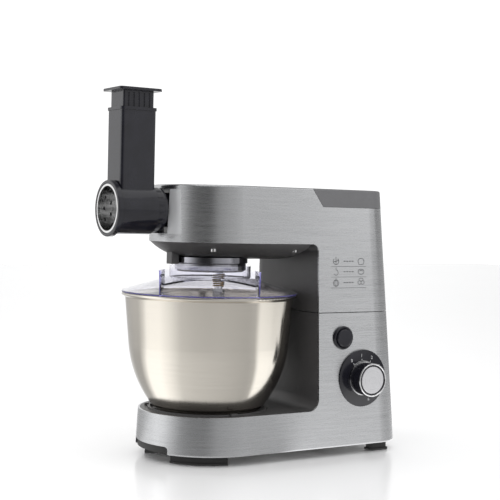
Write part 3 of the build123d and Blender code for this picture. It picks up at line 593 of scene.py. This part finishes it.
def tool_signs():
    """Three rows of line drawings: a tool at the left, speed dashes, and a food at the right."""
    line, thin = 0.8 * MM, 0.5 * MM
    left, right = 150 * MM, 193 * MM
    rows = [268 * MM, 253.5 * MM, 238.5 * MM]
    strokes = []
    for z in rows:
        strokes.append(([(142 * MM, z - 7.2 * MM), (202 * MM, z - 7.2 * MM)], thin))
        for dash in range(4):
            start = (163 + dash * 4.6) * MM
            strokes.append(([(start, z), (start + 3.1 * MM, z)], 1.2 * MM))
    flat, hook, whisk = ((left, z) for z in rows)
    strokes.append((arc(flat, 4.6 * MM, 130, 410, 18), line))
    strokes.append(([(flat[0], flat[1] + 6.2 * MM), (flat[0], flat[1] - 4.2 * MM)], line))
    strokes.append(([(flat[0] - 3.8 * MM, flat[1] - 1 * MM),
                     (flat[0] + 3.8 * MM, flat[1] + 1 * MM)], line))
    strokes.append(([(hook[0], hook[1] + 6 * MM), (hook[0], hook[1] + 2 * MM)], line))
    strokes.append((arc((hook[0], hook[1] - 1.2 * MM), 3.6 * MM, 90, -150, 16), line))
    for width in (1.0, 0.45):
        loop = arc((0, 0), 4.4 * MM, -90, 270, 22)
        strokes.append(([(whisk[0] + x * width, whisk[1] - 0.6 * MM + z) for x, z in loop], line))
    strokes.append(([(whisk[0], whisk[1] + 3.8 * MM), (whisk[0], whisk[1] + 6.4 * MM)], line))
    loaf, ball, cake = ((right, z) for z in rows)
    strokes.append((arc(loaf, 5.2 * MM, 0, 180, 14, 0.75), line))
    strokes.append(([(loaf[0] - 5.2 * MM, loaf[1]), (loaf[0] - 3.6 * MM, loaf[1] - 4.6 * MM),
                     (loaf[0] + 3.6 * MM, loaf[1] - 4.6 * MM), (loaf[0] + 5.2 * MM, loaf[1])], line))
    strokes.append((arc(ball, 5.0 * MM, -90, 270, 22, 0.72), line))
    strokes.append((arc((ball[0], ball[1] - 1.6 * MM), 3.4 * MM, 40, 140, 8), line))
    for shift in (-2.7, 2.7):
        strokes.append((arc((cake[0] + shift * MM, cake[1]), 2.7 * MM, -90, 270, 16), line))
    strokes.append((arc((cake[0], cake[1] + 1.5 * MM), 4.6 * MM, 30, 150, 10), line))
    print_on("tool_signs", strokes, side_place, "head", FINISHES["ink_grey"])


def dial_place(corner, lift):
    """Drawing about the dial's axis, laid on its crowned face."""
    x, z = corner
    drop = (x * x + z * z) / (2 * DIAL_CROWN_R)
    return (DIAL.x + x, DIAL_FACE_Y + drop - FILM_GAP - lift, DIAL.z + z)


def dial_marks():
    """Speed marks round the dial: a number and a tick for each of its settings."""
    strokes = []
    first, step = 128, -33
    inner, outer, number_r, ring_r = 25.0 * MM, 27.2 * MM, 31.8 * MM, 24.2 * MM
    for number in range(7):
        a = math.radians(first + step * number)
        tick = [(r * math.cos(a), r * math.sin(a)) for r in (inner, outer)]
        strokes.append((tick, 0.8 * MM))
        letter = bpy.data.curves.new(f"dial_number_{number}", "FONT")
        letter.body = str(number)
        letter.size = 6.2 * MM
        letter.align_x, letter.align_y = "CENTER", "CENTER"
        letter.extrude = 0.04 * MM
        piece = link(f"dial_number_{number}", letter, "base", FINISHES["ink_white"])
        piece.location = dial_place((number_r * math.cos(a), number_r * math.sin(a)), 0.12 * MM)
        piece.rotation_euler = (math.radians(90), 0, 0)
    ring = arc((0, 0), ring_r, first + 3, first + step * 6 - 3, 48)
    strokes.append((ring, 0.35 * MM))
    print_on("dial_ticks", strokes, dial_place, "base", FINISHES["ink_white"])


def knob_pointer():
    """Raised rib on the knob's rim that points at the speed."""
    mesh = bmesh.new()
    size = Vector((1.3 * MM, 9 * MM, 1.1 * MM))
    bmesh.ops.create_cube(mesh, size=1.0, matrix=Matrix.Diagonal((*size, 1)))
    bmesh.ops.bevel(mesh, geom=mesh.edges[:], offset=0.35 * MM, segments=3, affect="EDGES")
    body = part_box("knob_body")
    top = Vector((DIAL.x, body[0].y + size.y / 2 + 1.2 * MM, body[1].z + 0.1 * MM))
    bmesh.ops.translate(mesh, verts=mesh.verts, vec=top)
    data = bpy.data.meshes.new("knob_pointer")
    mesh.to_mesh(data)
    mesh.free()
    for face in data.polygons:
        face.use_smooth = True
    link("knob_pointer", data, "speed_knob", FINISHES["silver_cap"])


def tube(name, points, radius, body, finish, closed=False):
    """Round wire along points, as a curve with a bevel."""
    curve = bpy.data.curves.new(name, "CURVE")
    curve.dimensions = "3D"
    curve.bevel_depth = radius
    curve.bevel_resolution = 3
    curve.use_fill_caps = True
    spline = curve.splines.new("POLY")
    spline.points.add(len(points) - 1)
    for spot, point in zip(spline.points, points):
        spot.co = (*point, 1)
    spline.use_cyclic_u = closed
    return link(name, curve, body, finish)


def lid_edges():
    """Fine beads where the lid's edges gather colour: its rim and the filler chute's outline."""
    low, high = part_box("splash_lid")
    rim_r = (high.x - low.x) / 2 - 0.3 * MM
    rim_z = BOWL_RIM_Z + 1.5 * MM
    rim = [(BOWL_X + x, y, rim_z) for x, y in arc((0, 0), rim_r, 0, 360, 120)[:-1]]
    tube("lid_rim_bead", rim, 0.55 * MM, "lid", FINISHES["violet_edge"], closed=True)
    out = Vector((math.cos(CHUTE_TURN), math.sin(CHUTE_TURN)))
    side = Vector((-out.y, out.x))
    foot_in, foot_z, top_z = 0.985, BOWL_RIM_Z + 3.2 * MM, CHUTE_TOP_Z - 1 * MM
    for name, way in (("left", -1), ("right", 1)):
        corner = out * CHUTE_FAR + side * CHUTE_HALF * way
        foot = corner * foot_in
        back = out * CHUTE_NEAR + side * (CHUTE_HALF - 3 * MM) * way
        path = [(BOWL_X + foot.x, foot.y, foot_z), (BOWL_X + corner.x, corner.y, top_z),
                (BOWL_X + back.x, back.y, top_z)]
        tube(f"chute_bead_{name}", path, 0.5 * MM, "lid", FINISHES["violet_edge"])


def column_corner():
    """Rounded corner cover of the upper column, on the side away from the controls."""
    low_z, high_z = SEAM_Z + 0.5 * MM + FOOT_DROP, HEAD_CUT_TOP_Z + FOOT_DROP
    outer, inner, rows, steps = CORNER_R - 0.1 * MM, CORNER_R - 2 * MM, 6, 16
    centre_x, centre_y = BOWL_X + CORNER_X, half_width(SEAM_Z + FOOT_DROP) - CORNER_INSET
    mesh = bmesh.new()
    grid = []
    for row in range(rows + 1):
        z = low_z + (high_z - low_z) * row / rows
        last = math.asin((half_width(z) - 0.05 * MM - centre_y) / CORNER_R)
        line = []
        for step in range(steps + 1):
            a = math.pi - last * step / steps
            line.append([mesh.verts.new((centre_x + r * math.cos(a), centre_y + r * math.sin(a), z))
                         for r in (outer, inner)])
        grid.append(line)
    for near, far in zip(grid, grid[1:]):
        for step in range(steps):
            for skin in (0, 1):
                mesh.faces.new((near[step][skin], near[step + 1][skin],
                                far[step + 1][skin], far[step][skin]))
        for end in (0, steps):
            mesh.faces.new((near[end][0], near[end][1], far[end][1], far[end][0]))
    for line in (grid[0], grid[rows]):
        for step in range(steps):
            mesh.faces.new((line[step][0], line[step + 1][0], line[step + 1][1], line[step][1]))
    bmesh.ops.recalc_face_normals(mesh, faces=mesh.faces)
    data = bpy.data.meshes.new("column_corner")
    mesh.to_mesh(data)
    mesh.free()
    link("column_corner", data, "head", FINISHES["dark_plastic"])


def shaft_spring():
    """Coil spring that holds the tool down on its pin."""
    low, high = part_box("tool_shaft")
    centre = (low + high) / 2
    bottom, top, coils, radius = low.z + 14 * MM, high.z - 17 * MM, 6, 7.2 * MM
    steps = coils * 20
    points = []
    for step in range(steps + 1):
        a = 2 * math.pi * coils * step / steps
        points.append((centre.x + radius * math.cos(a), centre.y + radius * math.sin(a),
                       bottom + (top - bottom) * step / steps))
    tube("shaft_spring", points, 0.9 * MM, "mixing_tool", FINISHES["bush_bronze"])


def add_inks():
    FINISHES["violet_edge"] = violet_edge()
    for name, base in (("ink_grey", (0.05, 0.05, 0.055)), ("ink_white", (0.62, 0.62, 0.63))):
        made = Finish(name, base, rough=0.5)
        grain = made.noise((1600, 1600, 1600), detail=2)
        made.colour(grain, made.shades(0.85), made.shades(1.15))
        made.roughness(grain, 0.42, 0.6)
        FINISHES[name] = made.material


add_studio()
FINISHES = paint_nodes()
add_inks()
tool_signs()
dial_marks()
knob_pointer()
lid_edges()
column_corner()
shaft_spring()
